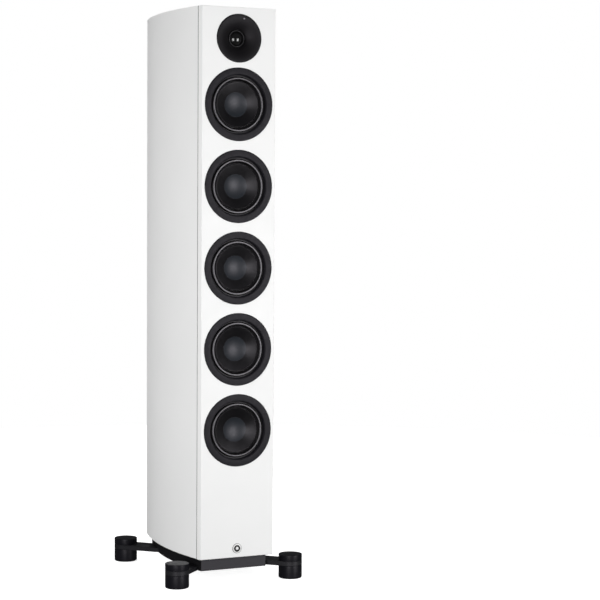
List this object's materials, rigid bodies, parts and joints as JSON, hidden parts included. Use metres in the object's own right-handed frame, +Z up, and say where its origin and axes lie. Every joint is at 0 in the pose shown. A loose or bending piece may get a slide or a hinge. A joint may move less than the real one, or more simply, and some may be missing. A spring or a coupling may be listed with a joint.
{
  "type": "floorstanding speaker",
  "caption": "Slim floorstanding speaker with curved white sides, dark round woofers and a tweeter on a flat baffle, standing on diagonal outrigger feet.",
  "frame": {"origin": "on the floor, at the centre of the rectangle of feet", "axes": "+Z up, the drivers face -Y, +X to the right when facing the drivers"},
  "size_m": [0.3044, 0.3588, 1.1846],
  "materials": {
    "white_lacquer": "satin white lacquer on board",
    "mdf": "raw board",
    "wadding": "fibre wadding",
    "badge_black": "gloss black",
    "trim_black": "fine matte black",
    "basket_steel": "matte black paint",
    "screw_steel": "black oxide",
    "spider_cloth": "resin-dipped cloth",
    "ferrite": "sintered",
    "motor_steel": "zinc plated",
    "surround_rubber": "satin",
    "cone_black": "satin moulded",
    "dust_cap_black": "satin moulded",
    "voice_coil": "wound",
    "faceplate_black": "matte black",
    "ring_metal": "dark polished",
    "tweeter_surround_cloth": "coated cloth",
    "dome_black": "gloss coated cloth",
    "indicator_lens": "smoked",
    "amplifier_aluminium": "black anodised",
    "circuit_board": "solder resist",
    "inlet_plastic": "moulded",
    "switch_plastic": "moulded",
    "port_plastic": "fine texture",
    "plinth_metal": "brushed black anodised",
    "arm_metal": "satin black",
    "foot_metal": "satin black anodised"
  },
  "bodies": {
    "cabinet": {"front_baffle": "white_lacquer", "left_side_panel": "white_lacquer", "right_side_panel": "white_lacquer", "top_panel": "white_lacquer", "bottom_panel": "white_lacquer", "back_panel": "white_lacquer", "cabinet_braces": "mdf", "acoustic_wadding": "wadding", "badge": "badge_black", "woofer_trim_rings": "trim_black", "woofer_baskets": "basket_steel", "woofer_screws": "screw_steel", "amplifier_screws": "screw_steel", "arm_screws": "screw_steel", "woofer_spiders": "spider_cloth", "woofer_magnets": "ferrite", "woofer_motor_plates": "motor_steel", "tweeter_motor": "motor_steel", "woofer_1_surround": "surround_rubber", "woofer_2_surround": "surround_rubber", "woofer_3_surround": "surround_rubber", "woofer_4_surround": "surround_rubber", "woofer_5_surround": "surround_rubber", "tweeter_faceplate": "faceplate_black", "tweeter_retaining_ring": "ring_metal", "tweeter_surround": "tweeter_surround_cloth", "status_indicator": "indicator_lens", "amplifier_panel": "amplifier_aluminium", "amplifier_board": "circuit_board", "mains_inlet": "inlet_plastic", "port_tube": "port_plastic", "plinth_plate": "plinth_metal", "outrigger_arms": "arm_metal"},
    "woofer_1_diaphragm": {"woofer_1_cone": "cone_black", "woofer_1_dust_cap": "dust_cap_black", "woofer_1_voice_coil": "voice_coil"},
    "woofer_2_diaphragm": {"woofer_2_cone": "cone_black", "woofer_2_dust_cap": "dust_cap_black", "woofer_2_voice_coil": "voice_coil"},
    "woofer_3_diaphragm": {"woofer_3_cone": "cone_black", "woofer_3_dust_cap": "dust_cap_black", "woofer_3_voice_coil": "voice_coil"},
    "woofer_4_diaphragm": {"woofer_4_cone": "cone_black", "woofer_4_dust_cap": "dust_cap_black", "woofer_4_voice_coil": "voice_coil"},
    "woofer_5_diaphragm": {"woofer_5_cone": "cone_black", "woofer_5_dust_cap": "dust_cap_black", "woofer_5_voice_coil": "voice_coil"},
    "tweeter_diaphragm": {"tweeter_dome": "dome_black", "tweeter_voice_coil": "voice_coil"},
    "power_rocker": {"power_switch": "switch_plastic"},
    "pairing_key": {"pairing_button": "switch_plastic"},
    "front_left_leveller": {"front_left_foot": "foot_metal"},
    "front_left_locking_cap": {"front_left_foot_cap": "foot_metal"},
    "front_right_leveller": {"front_right_foot": "foot_metal"},
    "front_right_locking_cap": {"front_right_foot_cap": "foot_metal"},
    "rear_left_leveller": {"rear_left_foot": "foot_metal"},
    "rear_left_locking_cap": {"rear_left_foot_cap": "foot_metal"},
    "rear_right_leveller": {"rear_right_foot": "foot_metal"},
    "rear_right_locking_cap": {"rear_right_foot_cap": "foot_metal"}
  },
  "joints": [
    {"name": "woofer_1_excursion", "type": "slide", "parent": "cabinet", "child": "woofer_1_diaphragm", "axis": [0, -1, 0], "range_m": [-0.005, 0.005], "stiffness_N_per_m": 1000, "deforming": ["woofer_1_surround"]},
    {"name": "woofer_2_excursion", "type": "slide", "parent": "cabinet", "child": "woofer_2_diaphragm", "axis": [0, -1, 0], "range_m": [-0.005, 0.005], "stiffness_N_per_m": 1000, "deforming": ["woofer_2_surround"]},
    {"name": "woofer_3_excursion", "type": "slide", "parent": "cabinet", "child": "woofer_3_diaphragm", "axis": [0, -1, 0], "range_m": [-0.005, 0.005], "stiffness_N_per_m": 1000, "deforming": ["woofer_3_surround"]},
    {"name": "woofer_4_excursion", "type": "slide", "parent": "cabinet", "child": "woofer_4_diaphragm", "axis": [0, -1, 0], "range_m": [-0.005, 0.005], "stiffness_N_per_m": 1000, "deforming": ["woofer_4_surround"]},
    {"name": "woofer_5_excursion", "type": "slide", "parent": "cabinet", "child": "woofer_5_diaphragm", "axis": [0, -1, 0], "range_m": [-0.005, 0.005], "stiffness_N_per_m": 1000, "deforming": ["woofer_5_surround"]},
    {"name": "tweeter_excursion", "type": "slide", "parent": "cabinet", "child": "tweeter_diaphragm", "axis": [0, -1, 0], "range_m": [-0.0004, 0.0004], "stiffness_N_per_m": 100, "deforming": ["tweeter_surround"]},
    {"name": "power_switch_rock", "type": "hinge", "parent": "cabinet", "child": "power_rocker", "pos_m": [0.024, 0.16375, 0.15], "axis": [-1, 0, 0], "range_deg": [0, 16]},
    {"name": "pairing_button_press", "type": "slide", "parent": "cabinet", "child": "pairing_key", "axis": [0, -1, 0], "range_m": [0, 0.001], "stiffness_N_per_m": 400, "springref_m": -0.0005},
    {"name": "front_left_foot_extend", "type": "slide", "parent": "cabinet", "child": "front_left_leveller", "axis": [0, 0, -1], "range_m": [0, 0.01]},
    {"name": "front_left_cap_turn", "type": "hinge", "parent": "cabinet", "child": "front_left_locking_cap", "pos_m": [-0.1276, -0.15485, 0.0437], "axis": [0, 0, 1], "continuous": true},
    {"name": "front_right_foot_extend", "type": "slide", "parent": "cabinet", "child": "front_right_leveller", "axis": [0, 0, -1], "range_m": [0, 0.01]},
    {"name": "front_right_cap_turn", "type": "hinge", "parent": "cabinet", "child": "front_right_locking_cap", "pos_m": [0.1276, -0.15485, 0.0437], "axis": [0, 0, 1], "continuous": true},
    {"name": "rear_left_foot_extend", "type": "slide", "parent": "cabinet", "child": "rear_left_leveller", "axis": [0, 0, -1], "range_m": [0, 0.01]},
    {"name": "rear_left_cap_turn", "type": "hinge", "parent": "cabinet", "child": "rear_left_locking_cap", "pos_m": [-0.1276, 0.15485, 0.0437], "axis": [0, 0, 1], "continuous": true},
    {"name": "rear_right_foot_extend", "type": "slide", "parent": "cabinet", "child": "rear_right_leveller", "axis": [0, 0, -1], "range_m": [0, 0.01]},
    {"name": "rear_right_cap_turn", "type": "hinge", "parent": "cabinet", "child": "rear_right_locking_cap", "pos_m": [0.1276, 0.15485, 0.0437], "axis": [0, 0, 1], "continuous": true}
  ]
}
